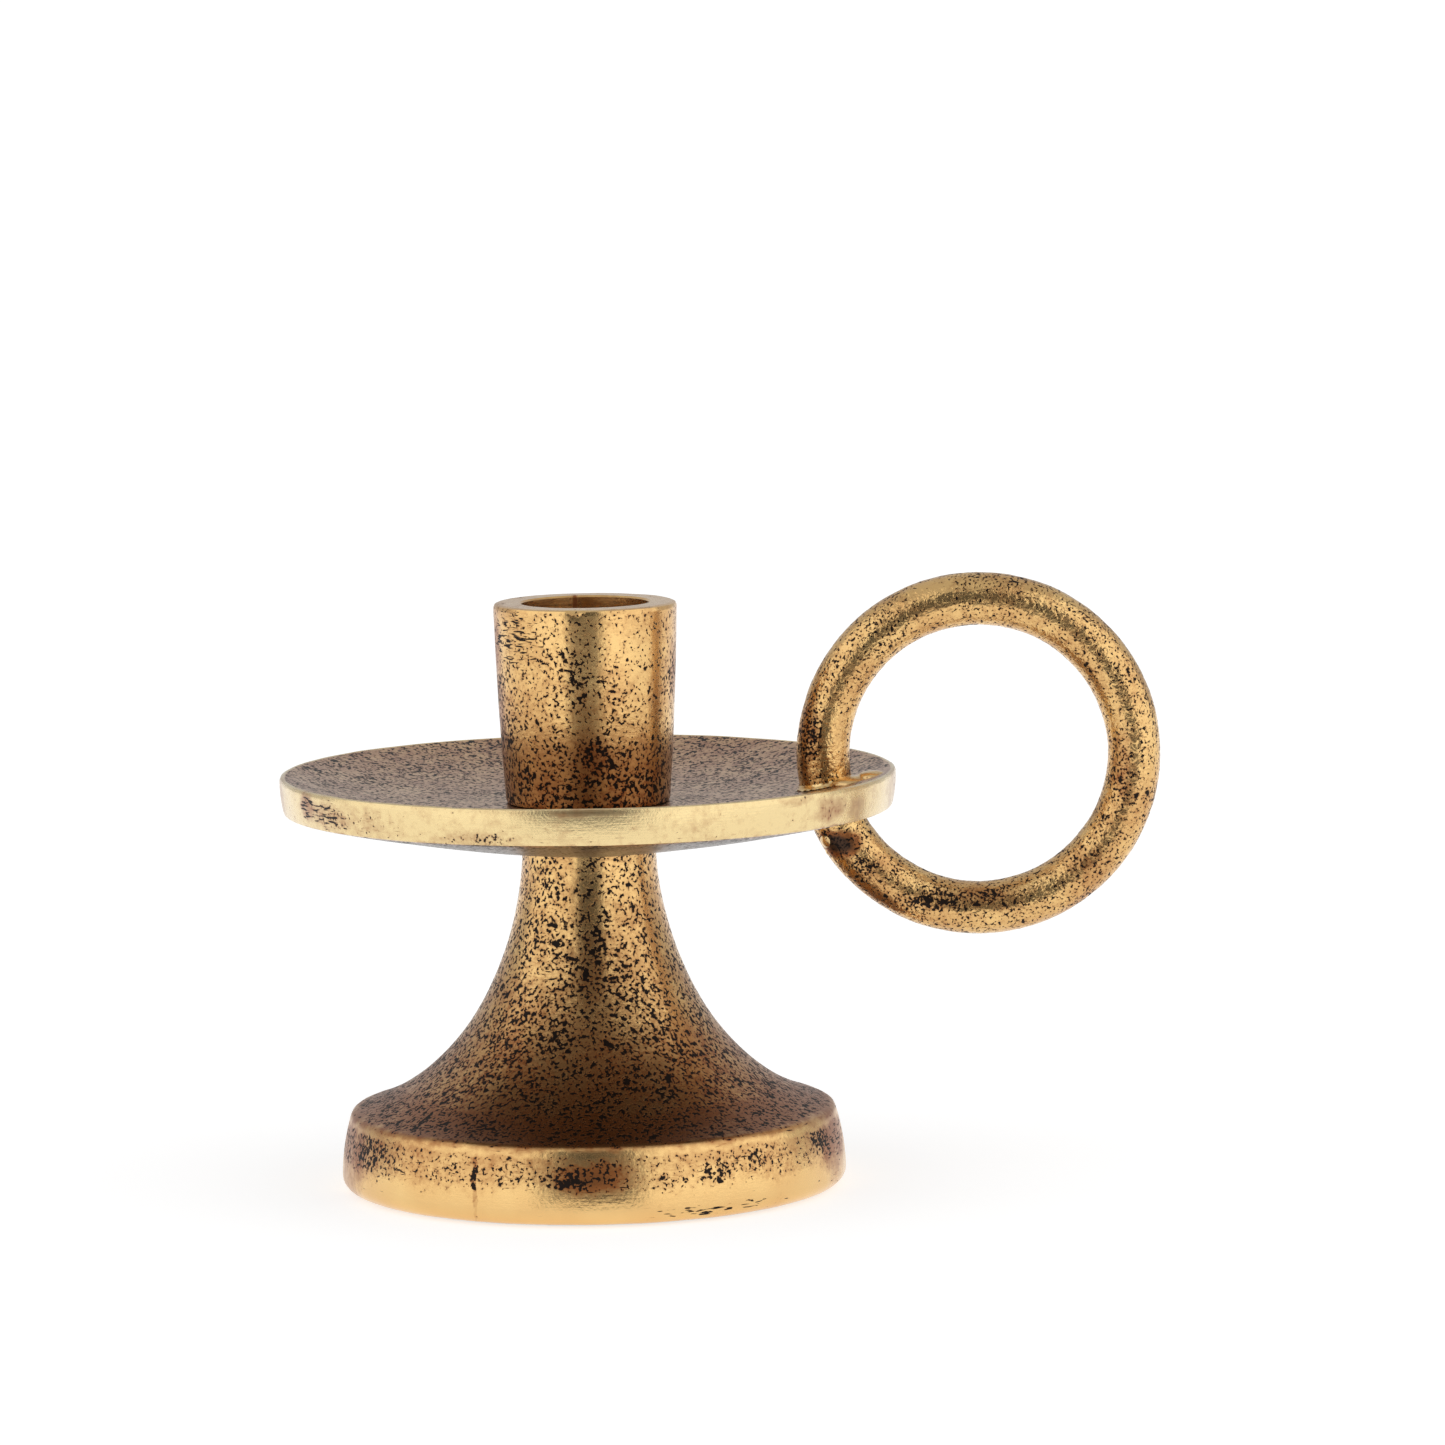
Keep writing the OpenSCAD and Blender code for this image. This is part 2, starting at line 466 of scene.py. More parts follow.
@dataclass(frozen=True)
class AntiqueBrass:
    """Sand-cast brass, darkened all over, rubbed back by hand and sealed with satin lacquer.

    Rubbing leaves bright gold on the high skin, black oxide in the pits of the casting and a
    thin coppery brown film where the cloth hardly reached. The lacquer lays a pale haze over
    whatever is seen at a low angle. Patches also lay on film and pits as painted shade.

    Args:
        name: The finish's name.
        cover: How much of the skin is pitted, from 0 to 1.
        film: How much brown film lies on it, from 0 to 1; patches add painted shade to it.
        polish: How far the skin is polished to pale brass, from 0 to 1.
        pit: Width of one pit in millimetres.
        sand: Height of the sand grain in millimetres.
        grain: Width of a sand grain in millimetres. Real moulding sand is about 0.2 mm, drawn
            coarser here so that it still shows.
        brush: Height of the hairlines that turning and rubbing leave, in millimetres.
        gloss: Roughness of the bright skin.
        haze: Weight of the lacquer.
        patches: Places where the finish differs.
    """

    name: str
    cover: float = 0.35
    film: float = 0.3
    polish: float = 0.0
    pit: float = 0.42
    sand: float = 0.006
    grain: float = 0.45
    brush: float = 0.0
    gloss: float = 0.2
    haze: float = 0.4
    patches: tuple[Patch, ...] = ()

    # Clean skin, its warmer patches, polished skin, thin and thick film, and oxide; film and oxide
    # also colour the painted shade that patches lay on
    GOLD = "#f2cc88"
    WARM = "#e0af6e"
    PALE = "#ecd298"
    FILM_AND_SHADE = "#9c6030"
    UMBER = "#442c1a"
    BLACK = "#1e130c"

    def spot(self, tree: bpy.types.NodeTree, coords: bpy.types.NodeSocket, patch: Patch
             ) -> bpy.types.NodeSocket:
        """Gives 1 in the middle of a patch and 0 outside it.

        Args:
            tree: The material's tree.
            coords: Object coordinates, even or wandering.
            patch: The patch.

        Returns:
            The patch's strength.
        """
        scale = [1 / (r * MM) for r in patch.reach]
        shift = [-c / r for c, r in zip(patch.at, patch.reach)]
        local = add_node(tree, "Mapping", {"Location": shift, "Scale": scale}, {"Vector": coords})
        away = add_node(tree, "VectorMath", {"operation": "LENGTH"}, {0: local.outputs["Vector"]})
        return add_node(tree, "MapRange", {
            "interpolation_type": "SMOOTHSTEP", "From Min": 1.0, "From Max": 1.0 - patch.soft},
            {"Value": away.outputs["Value"]}).outputs["Result"]

    def levels(self, tree: bpy.types.NodeTree, coords: bpy.types.NodeSocket
               ) -> dict[str, bpy.types.NodeSocket]:
        """Sums the even finish, its slow drift over the skin and the patches.

        Args:
            tree: The material's tree.
            coords: Object coordinates.

        Returns:
            Sockets with the amounts of pits, film, hatch and polish; pits and film include painted
            shade from patches.
        """
        wander, wander_size = 2.2 * MM, 3 * MM
        cloud = add_node(tree, "TexNoise", {"Scale": 1 / wander_size, "Detail": 3.0},
                         {"Vector": coords})
        pushed = add_node(tree, "VectorMath", {"operation": "MULTIPLY_ADD", 1: [wander] * 3},
                          {0: cloud.outputs["Color"], 2: coords})
        ragged = add_node(tree, "VectorMath", {"operation": "SUBTRACT", 1: [wander / 2] * 3},
                          {0: pushed.outputs["Vector"]}).outputs["Vector"]
        sums = {}
        for channel, even, size, swing in (("pits", self.cover, 6 * MM, 0.8),
                                           ("film", self.film, 9 * MM, 0.8),
                                           ("hatch", 0.0, 4 * MM, 0.3),
                                           ("polish", self.polish, 5 * MM, 0.0)):
            drift = add_node(tree, "TexNoise", {"Scale": 1 / size, "Detail": 3.0,
                                                "Roughness": 0.6}, {"Vector": coords})
            sums[channel] = add_node(tree, "Math", {
                "operation": "MULTIPLY_ADD", 1: swing, 2: even - swing / 2},
                {0: drift.outputs["Fac"]}).outputs[0]
        for patch in self.patches:
            spot = self.spot(tree, ragged if patch.ragged else coords, patch)
            for channel, level in sums.items():
                amount = getattr(patch, channel)
                if amount:
                    sums[channel] = add_node(tree, "Math", {"operation": "MULTIPLY_ADD", 1: amount},
                                             {0: spot, 2: level}).outputs[0]
        return sums

    def specks(self, tree: bpy.types.NodeTree, coords: bpy.types.NodeSocket,
               level: bpy.types.NodeSocket, size: float, stretch: tuple[float, float, float]
               ) -> bpy.types.NodeSocket:
        """Gives ragged specks that cover more of the skin where the level is higher.

        Args:
            tree: The material's tree.
            coords: Object coordinates.
            level: How much is covered: nothing at 0, half at 1.
            size: Width of one speck in millimetres.
            stretch: Scale of the pattern along X, Y and Z; less than 1 draws specks out.

        Returns:
            Distance above the threshold: over 0 inside a speck.
        """
        least, most = 0.76, 0.5
        cells_per_speck = 0.66
        drawn = add_node(tree, "Mapping", {"Scale": stretch, "Rotation": (0.0, 0.12, 0.0)},
                         {"Vector": coords})
        noise = add_node(tree, "TexNoise", {"Scale": cells_per_speck / (size * MM), "Detail": 1.8,
                                            "Roughness": 0.5, "Distortion": 0.2},
                         {"Vector": drawn.outputs["Vector"]})
        threshold = add_node(tree, "MapRange", {"clamp": False, "To Min": least, "To Max": most},
                             {"Value": level})
        return add_node(tree, "Math", {"operation": "SUBTRACT"},
                        {0: noise.outputs["Fac"], 1: threshold.outputs["Result"]}).outputs[0]

    def build(self) -> bpy.types.Material:
        """Builds the node material.

        Returns:
            The material.
        """
        material, tree = new_material(self.name)
        coords = add_node(tree, "TexCoord").outputs["Object"]
        level = self.levels(tree, coords)

        # Pits: many small ones, some that have run together where they are dense, and file strokes
        even, drawn_out = (1.0, 1.0, 1.0), (0.16, 0.16, 1.0)
        large, thin, sparser = 2.2, 0.6, 0.3
        pit_edge, halo_reach, halo_film = 0.035, 0.1, 0.3
        small = self.specks(tree, coords, level["pits"], self.pit, even)
        rare = add_node(tree, "Math", {"operation": "SUBTRACT", 1: sparser}, {0: level["pits"]})
        joined = self.specks(tree, coords, rare.outputs[0], self.pit * large, even)
        strokes = self.specks(tree, coords, level["hatch"], self.pit * thin, drawn_out)
        either = add_node(tree, "Math", {"operation": "MAXIMUM"}, {0: small, 1: joined})
        any_mark = add_node(tree, "Math", {"operation": "MAXIMUM"},
                            {0: either.outputs[0], 1: strokes}).outputs[0]
        pits = add_node(tree, "MapRange", {"From Min": 0.0, "From Max": pit_edge},
                        {"Value": any_mark}).outputs["Result"]
        halo = add_node(tree, "MapRange", {"From Min": -halo_reach, "From Max": 0.0,
                                           "To Max": halo_film},
                        {"Value": any_mark}).outputs["Result"]

        # Film: a cloudy stain that hangs on around the pits, and painted shade where patches lay it
        # on
        stain_size, stain_swing = 1.5 * MM, 1.1
        stain_noise = add_node(tree, "TexNoise", {"Scale": 1 / stain_size, "Detail": 4.0,
                                                  "Roughness": 0.65}, {"Vector": coords})
        stain_and_shade_even = add_node(tree, "Math", {"operation": "ADD", 1: -stain_swing / 2},
                              {0: level["film"]})
        stain_and_shade_soft = add_node(tree, "Math", {"operation": "MULTIPLY_ADD", 1: stain_swing},
                              {0: stain_noise.outputs["Fac"], 2: stain_and_shade_even.outputs[0]})
        stain_and_shade = add_node(tree, "Math", {"operation": "ADD", "use_clamp": True},
                         {0: stain_and_shade_soft.outputs[0], 1: halo}).outputs[0]

        # Colour: gold, warmer in slow patches, pale where polished, then film and painted shade
        # that turn to umber where they are thick, then black
        warm_size, umber_from, umber_full = 9 * MM, 1.1, 1.9
        warmth = add_node(tree, "TexNoise", {"Scale": 1 / warm_size, "Detail": 2.0},
                          {"Vector": coords})
        skin = add_node(tree, "Mix", {"data_type": "RGBA", 6: linear(self.GOLD),
                                      7: linear(self.WARM)}, {0: warmth.outputs["Fac"]})
        polished = add_node(tree, "Mix", {"data_type": "RGBA", 7: linear(self.PALE)},
                            {0: level["polish"], 6: skin.outputs[2]})
        thick = add_node(tree, "MapRange", {"From Min": umber_from, "From Max": umber_full},
                         {"Value": level["film"]})
        film = add_node(tree, "Mix", {"data_type": "RGBA", 6: linear(self.FILM_AND_SHADE),
                                      7: linear(self.UMBER)}, {0: thick.outputs["Result"]})
        filmed = add_node(tree, "Mix", {"data_type": "RGBA"},
                          {0: stain_and_shade, 6: polished.outputs[2], 7: film.outputs[2]})
        colour = add_node(tree, "Mix", {"data_type": "RGBA", 7: linear(self.BLACK)},
                          {0: pits, 6: filmed.outputs[2]})

        # Gloss: satin skin, duller film, and dull oxide with hardly any lacquer in it
        film_rough, oxide_rough, oxide_metal, oxide_haze = 0.42, 0.6, 0.85, 0.3
        rough_film = add_node(tree, "Mix", {2: self.gloss, 3: film_rough}, {0: stain_and_shade})
        rough = add_node(tree, "Mix", {3: oxide_rough}, {0: pits, 2: rough_film.outputs[0]})
        metal = add_node(tree, "MapRange", {"To Min": 1.0, "To Max": oxide_metal},
                         {"Value": pits})
        lacquer = add_node(tree, "MapRange", {"To Min": self.haze,
                                              "To Max": self.haze * oxide_haze},
                           {"Value": pits})

        # Relief too fine for the mesh: sand grain, hairlines and the sunk pits. Real hairlines
        # lie some hundredths of a millimetre apart and are drawn coarser so that they show
        hairline, hair_draw, pit_depth = 0.3 * MM, 0.04, 0.035 * MM
        grain_noise = add_node(tree, "TexNoise", {"Scale": 1 / (self.grain * MM), "Detail": 2.0},
                               {"Vector": coords})
        grain = add_node(tree, "Bump", {"Strength": 1.0, "Distance": self.sand * MM},
                         {"Height": grain_noise.outputs["Fac"]})
        lines_map = add_node(tree, "Mapping", {"Scale": (hair_draw, hair_draw, 1.0)},
                             {"Vector": coords})
        lines_noise = add_node(tree, "TexNoise", {"Scale": 1 / hairline, "Detail": 2.0},
                               {"Vector": lines_map.outputs["Vector"]})
        lines = add_node(tree, "Bump", {"Strength": 1.0, "Distance": self.brush * MM},
                         {"Height": lines_noise.outputs["Fac"], "Normal": grain.outputs["Normal"]})
        sunk = add_node(tree, "Bump", {"Strength": 1.0, "Distance": pit_depth, "invert": True},
                        {"Height": pits, "Normal": lines.outputs["Normal"]})

        surface = add_node(tree, "BsdfPrincipled", {"Coat Roughness": 0.35}, {
            "Base Color": colour.outputs[2], "Metallic": metal.outputs["Result"],
            "Roughness": rough.outputs[0], "Coat Weight": lacquer.outputs["Result"],
            "Normal": sunk.outputs["Normal"]})
        add_node(tree, "OutputMaterial", None, {"Surface": surface.outputs["BSDF"]})
        return material


@dataclass(frozen=True)
class ZincSteel:
    """Rolled and turned steel with a bright zinc plate, which looks bluish and a little cloudy.

    Args:
        name: The finish's name.
        bright: Its colour where the plate is bright.
        cloudy: Its colour where the plate is dull.
    """

    name: str = "zinc_plated_steel"
    bright: str = "#c3c6c9"
    cloudy: str = "#8f9296"

    def build(self) -> bpy.types.Material:
        """Builds the node material.

        Returns:
            The material.
        """
        material, tree = new_material(self.name)
        coords = add_node(tree, "TexCoord").outputs["Object"]
        cloud = add_node(tree, "TexNoise", {"Scale": 1 / (1.5 * MM), "Detail": 4.0},
                         {"Vector": coords})
        rough = add_node(tree, "MapRange", {"To Min": 0.25, "To Max": 0.5},
                         {"Value": cloud.outputs["Fac"]})
        tint = add_node(tree, "Mix", {"data_type": "RGBA", 6: linear(self.bright),
                                      7: linear(self.cloudy)}, {0: cloud.outputs["Fac"]})
        surface = add_node(tree, "BsdfPrincipled", {"Metallic": 1.0},
                           {"Base Color": tint.outputs[2], "Roughness": rough.outputs["Result"]})
        add_node(tree, "OutputMaterial", None, {"Surface": surface.outputs["BSDF"]})
        return material


@dataclass(frozen=True)
class WoolFelt:
    """Wool felt, pressed and die-cut: matt, with short fibres that catch light at the edge.

    Args:
        name: The finish's name.
        deep: Its colour between the fibres.
        pale: Its colour on the fibres.
        tuft: Width of a tuft in millimetres. One fibre is about 0.02 mm thick, so tufts of them
            are drawn instead, which still show.
    """

    name: str = "green_wool_felt"
    deep: str = "#2c4636"
    pale: str = "#4b6b57"
    tuft: float = 0.35

    def build(self) -> bpy.types.Material:
        """Builds the node material.

        Returns:
            The material.
        """
        material, tree = new_material(self.name)
        coords = add_node(tree, "TexCoord").outputs["Object"]
        fibre = add_node(tree, "TexNoise", {"Scale": 1 / (self.tuft * MM), "Detail": 5.0,
                                            "Distortion": 1.5}, {"Vector": coords})
        tint = add_node(tree, "Mix", {"data_type": "RGBA", 6: linear(self.deep),
                                      7: linear(self.pale)}, {0: fibre.outputs["Fac"]})
        bump = add_node(tree, "Bump", {"Distance": 0.15 * MM}, {"Height": fibre.outputs["Fac"]})
        surface = add_node(tree, "BsdfPrincipled", {"Roughness": 0.95, "Sheen Weight": 0.5},
                           {"Base Color": tint.outputs[2], "Normal": bump.outputs["Normal"]})
        add_node(tree, "OutputMaterial", None, {"Surface": surface.outputs["BSDF"]})
        return material


# ---------------------------------------------------------------------------- castings


class Part(ABC):
    """A piece that stands for one node: built, dressed in its finish and placed.

    Args:
        node: The CAD node that the piece stands for.
        slot: Its material slot; not used.
    """

    node: ClassVar[str]
    slot: ClassVar[Slot] = Slot.BRASS

    @abstractmethod
    def build(self) -> bpy.types.Object:
        """Models the piece."""

    @abstractmethod
    def finish(self) -> Finish:
        """Gives the piece's finish."""

    def make(self) -> None:
        """Builds, dresses and places the piece."""
        piece = self.build()
        dress(piece, self.finish().build())
        place(piece, self.node)


@dataclass
class BellFoot(Part):
    """Hollow bell foot: a low skirt, a rounded shoulder and a flare that runs up to the neck.

    Args:
        skirt_top: Where the skirt's side ends and the shoulder starts.
        flare_end: Where the shoulder ends and the flare starts.
        edge: Rounding of the skirt's lower edge.
        neck_pull: How stiffly the flare ends, upright, in the neck.
        flare_pull: How stiffly it starts at the shoulder.
        flare_slope_deg: Its slope there.
        neck_radius: Radius of the neck.
        hole_radius: Radius of the stud's hole.
        skirt_bow: How far the skirt's side swells.
        shoulder_drop: How far the shoulder's tip lies under the flare's start.
        seat: Outer edge of the face that the plain washer rests on.
        hollow_pull: How stiffly the hollow starts, straight down from the seat.
        hollow_handle: Point that the hollow's flare is drawn towards.
        hollow_end: Where that flare ends above the mouth.
        mouth_tip: Tip of the mouth's rounding.
        mouth_wall: Where the mouth's straight wall starts.
        groove: Inner and outer radius of the felt's groove.
        flat_step: Spacing of points along hidden flats.
        inside_step: Spacing of points inside the hollow.
        turns: Segments around the axis.
        relief: Unevenness of the casting.
        nick: A knock on the shoulder.
    """

    node = "foot"
    skirt_top: Point = (43.0 * MM, 13.2 * MM)
    flare_end: Point = (41.8 * MM, 14.2 * MM)
    edge: float = 2.4 * MM
    neck_pull: float = 10.9 * MM
    flare_pull: float = 25 * MM
    flare_slope_deg: float = 17.0
    neck_radius: float = 11.85 * MM
    hole_radius: float = 3.2 * MM
    skirt_bow: float = 0.36 * MM
    shoulder_drop: float = 0.3 * MM
    seat: Point = (11 * MM, 40 * MM)
    hollow_pull: float = 5 * MM
    hollow_handle: Point = (17.2 * MM, 20.3 * MM)
    hollow_end: Point = (30 * MM, 14.6 * MM)
    mouth_tip: Point = (32 * MM, 13 * MM)
    mouth_wall: float = 10.5 * MM
    groove: tuple[float, float] = (32.9 * MM, 41.1 * MM)
    flat_step: float = 2.5 * MM
    inside_step: float = 1.2 * MM
    turns: int = 400
    relief: tuple[Relief, ...] = (Relief(9 * MM, 0.16 * MM), Relief(1.8 * MM, 0.05 * MM))
    nick: Dent = Dent((-21.7 * MM, -37.2 * MM, 12.9 * MM), (0.1 * MM, 0.3 * MM, -0.3 * MM),
                      1.0 * MM)

    def outline(self) -> list[Vector]:
        """Draws the half-section, from under the edge, up outside and down inside.

        Returns:
            The outline's points.
        """
        low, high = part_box("foot")
        felt_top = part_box("felt_ring")[1].z
        r, base, top = high.x, low.z, high.z
        slope = math.radians(self.flare_slope_deg)
        reach = (math.cos(slope) * self.flare_pull, math.sin(slope) * self.flare_pull)
        pen = OutlinePen((self.groove[1], base))
        pen.line((r - self.edge, base)).corner((r, base), (r, base + self.edge))
        pen.bow(self.skirt_top, self.skirt_bow)
        pen.corner((self.skirt_top[0], self.flare_end[1] - self.shoulder_drop), self.flare_end)
        pen.curve((self.flare_end[0] - reach[0], self.flare_end[1] + reach[1]),
                  (self.neck_radius, top - self.neck_pull), (self.neck_radius, top))
        pen.step = self.flat_step
        pen.line((self.hole_radius, top)).line((self.hole_radius, self.seat[1])).line(self.seat)
        pen.step = self.inside_step
        pen.curve((self.seat[0], self.seat[1] - self.hollow_pull), self.hollow_handle,
                  self.hollow_end)
        mouth = self.mouth_tip[0]
        pen.corner(self.mouth_tip, (mouth, self.mouth_wall)).line((mouth, base))
        pen.line((self.groove[0], base)).line((self.groove[0], felt_top))
        pen.line((self.groove[1], felt_top)).line((self.groove[1], base))
        return pen.points

    def build(self) -> bpy.types.Object:
        """Turns the foot, presses its casting relief into it and nicks its shoulder.

        Returns:
            The foot.
        """
        foot = spin_outline(self.outline(), self.turns)
        for relief in self.relief:
            relief.press_into(foot)
        self.nick.strike(foot)
        return finish_piece(foot, "bell_foot")

    def finish(self) -> AntiqueBrass:
        """Gives the foot's patina: dense on the flare, rubbed clean low on the skirt.

        Returns:
            The finish.
        """
        return AntiqueBrass("cast_brass_foot", cover=0.85, film=0.38, pit=0.42, sand=0.035,
                            grain=0.7, brush=0.014, patches=(
            # Neck: rubbed brighter, with file strokes, and painted shade as a darker streak of pits
            # and film down its front
            band(62, 26, pits=-0.12, film=-0.25),
            Patch((0.5, -14, 42), (3, 8, 14), pits=0.15, film=0.1),
            Patch((-8, -13, 40), (4.5, 8, 5), pits=-0.3, hatch=0.5),
            # Flare: smeared dark just above the crease
            band(19, 15, film=0.3),
            band(15.5, 3.6, film=0.3, hatch=0.4),
            # Skirt: thinner patina, bright crease, clean lower half
            band(6, 7.6, pits=-0.28, film=-0.25, soft=0.1),
            band(13.2, 1.3, pits=-0.7, film=-0.3, soft=0.6),
            band(0.5, 7.6, pits=-0.75, film=-0.3, soft=0.6),
            Patch((-38, -22, 8.7), (9, 12, 8), pits=0.35, film=0.15),
            Patch((-42.5, -12, 7), (4.5, 18, 13), pits=0.2, film=0.6),
            Patch((42.5, -12, 8), (4.0, 16, 9), film=0.65, hatch=0.4),
            Patch((0, -43.6, 9), (11, 7, 4), pits=0.3, film=0.35),
            Patch((0.5, -43.6, 8.3), (9, 7, 4), film=0.7, soft=1.0),
            Patch((-7, -43.6, 8.8), (8, 7, 2.6), pits=0.2),
            Patch((22.5, -38, 8.7), (4.5, 6, 3.4), pits=0.4),
            Patch((28.6, -33.5, 9.2), (2.8, 5, 3.2), pits=0.4),
            Patch((39.5, -18, 10.6), (3.2, 7, 3), pits=0.55, film=0.2),
            Patch((-20, -39.8, 6), (0.6, 5, 9), pits=0.6, film=0.4, soft=0.6),
            Patch((22, -39, 2.4), (24, 18, 1.4), hatch=0.78),
            band(9, 4, hatch=0.3),
        ))


@dataclass
class DripTray(Part):
    """Dished plate with a thick polished rim, pierced by the ring's bar.

    Args:
        neck_radius: Radius at which it rests on the foot.
        cup_radius: Radius at which the cup stands on it.
        hub_top: Height of its face under the cup.
        sag: How far the dish sinks below a straight line to the rim.
        belly: How far the underside swells.
        rim_height: Height of the rim's face.
        edge: Rounding of the rim's edges.
        draft: How far the rim's face slants in towards its lower edge.
        face_bow: How far that face swells.
        hole_radius: Radius of the stud's hole.
        dish_step: Spacing of points across the dish and its underside.
        rim_step: Spacing of points on the rim.
        flat_step: Spacing of points along hidden flats.
        turns: Segments around the axis.
        relief: Unevenness of the casting.
    """

    node = "drip_tray"
    neck_radius: float = 11.85 * MM
    cup_radius: float = 14.5 * MM
    hub_top: float = 68.4 * MM
    sag: float = 1.8 * MM
    belly: float = 0.5 * MM
    rim_height: float = 6.5 * MM
    edge: float = 0.6 * MM
    draft: float = 0.55 * MM
    face_bow: float = 0.15 * MM
    hole_radius: float = 3.2 * MM
    dish_step: float = 0.6 * MM
    rim_step: float = 0.4 * MM
    flat_step: float = 2.5 * MM
    turns: int = 432
    relief: tuple[Relief, ...] = (Relief(11 * MM, 0.2 * MM), Relief(2.2 * MM, 0.035 * MM))

    def outline(self) -> list[Vector]:
        """Draws the half-section, from the hole out along the underside and back on top.

        Returns:
            The outline's points.
        """
        low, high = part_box("drip_tray")
        rim_top = high.z
        rim_low = rim_top - self.rim_height
        face = high.x - self.face_bow
        face_low = face - self.draft
        pen = OutlinePen((self.hole_radius, low.z), self.dish_step)
        pen.line((self.neck_radius, low.z)).bow((face_low - self.edge, rim_low), self.belly)
        pen.step = self.rim_step
        pen.corner((face_low, rim_low), (face_low, rim_low + self.edge))
        pen.bow((face, rim_top - self.edge), self.face_bow)
        pen.corner((face, rim_top), (face - self.edge, rim_top))
        pen.step = self.dish_step
        pen.bow((self.cup_radius, self.hub_top), -self.sag)
        pen.step = self.flat_step
        pen.line((self.hole_radius, self.hub_top)).line((self.hole_radius, low.z))
        return pen.points

    def build(self) -> bpy.types.Object:
        """Turns the tray, presses its casting relief into it and cuts the ring's hole.

        Returns:
            The tray.
        """
        tray = spin_outline(self.outline(), self.turns)
        for relief in self.relief:
            relief.press_into(tray)
        bar = RingHandle(around=200, across=40).bend()
        modify(tray, "BOOLEAN", operation="DIFFERENCE", solver="EXACT", object=bar)
        bpy.data.objects.remove(bar)
        return finish_piece(tray, "drip_tray_plate")

    def finish(self) -> AntiqueBrass:
        """Gives the tray's patina: a polished rim, all else left dark, and painted shade
        underneath.

        Returns:
            The finish.
        """
        return AntiqueBrass("cast_brass_tray", cover=0.02, film=0.02, polish=1.0, pit=0.44,
                            sand=0.035, brush=0.03, haze=1.0, gloss=0.24, patches=(
            # Inside the rim's face: dark patina all over, darkest on the underside with painted
            # shade
            Patch((0, 0, 67), (53.6, 53.6, ALL_ROUND), pits=0.78, film=0.6, polish=-0.9,
                  soft=0.006, ragged=False),
            band(66.9, 1.0, pits=0.1, film=0.3),
            # Painted shade under the tray: thick film over the whole underside
            band(57, 10.5, film=1.3, pits=-0.05, soft=0.1),
            # Beside the braze: fewer pits, and file strokes
            Patch((50, -4, 73), (8, 9, 3), pits=-0.6, film=-0.1, hatch=0.45),
            # Rim's face: stains and file strokes that polishing left
            Patch((-45, -31, 70.5), (7, 9, 3.8), pits=0.45, film=0.35, hatch=0.7),
            Patch((-38, -38, 70), (14, 12, 3.6), pits=0.4, film=0.15, hatch=0.3),
            Patch((-54, -6, 70.5), (4, 12, 6), film=0.55),
            Patch((-48.5, -25, 71.5), (3, 5, 4), film=0.6, hatch=0.7),
            Patch((-18, -51, 68.4), (14, 6, 1.9), pits=0.66, film=0.25),
            Patch((0.5, -54.4, 73.2), (9, 4, 1.2), film=0.4, soft=0.6),
            Patch((37, -40, 73), (5, 5, 1.2), pits=0.4, film=0.3),
            Patch((42.5, -34, 70.8), (5, 6, 3.4), film=0.6, pits=0.2),
            Patch((47, -27.5, 70), (3, 5, 3), film=0.5),
            Patch((54, -8, 71), (3.5, 10, 6), film=0.45),
        ))


